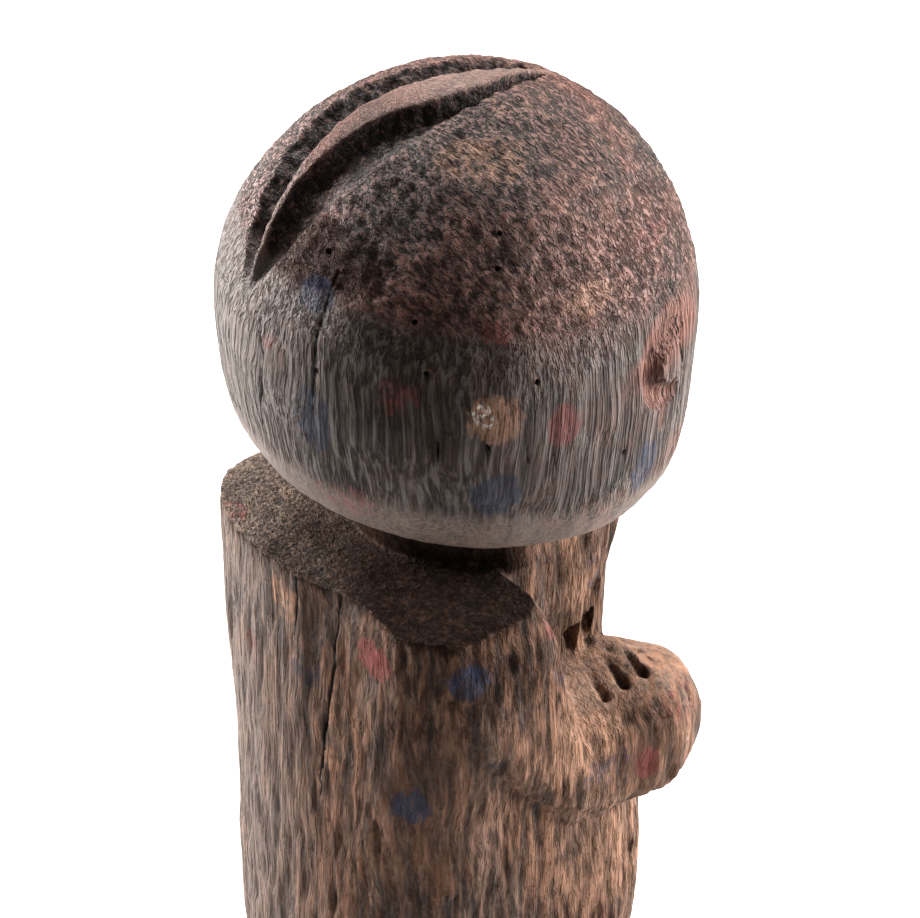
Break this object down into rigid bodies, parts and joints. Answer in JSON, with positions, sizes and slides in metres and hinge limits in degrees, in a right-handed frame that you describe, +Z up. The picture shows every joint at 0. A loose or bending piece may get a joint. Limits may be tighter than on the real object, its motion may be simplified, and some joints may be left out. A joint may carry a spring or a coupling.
{
  "type": "carved ancestor figure",
  "caption": "Standing ancestor figure carved in one with its low round foot: big rounded head with a leaf-shaped crest and hooked ears, log-like body and hands folded at the front.",
  "frame": {"origin": "middle of the underside of the round foot", "axes": "+Z up along the log, -Y is the way the figure faces, -X is its right hand"},
  "size_m": [0.161, 0.1668, 0.56],
  "materials": {
    "weathered_wood": "dry weathered hardwood, open grain, traces of old paint"
  },
  "bodies": {
    "root": {"figure": "weathered_wood"}
  },
  "joints": []
}
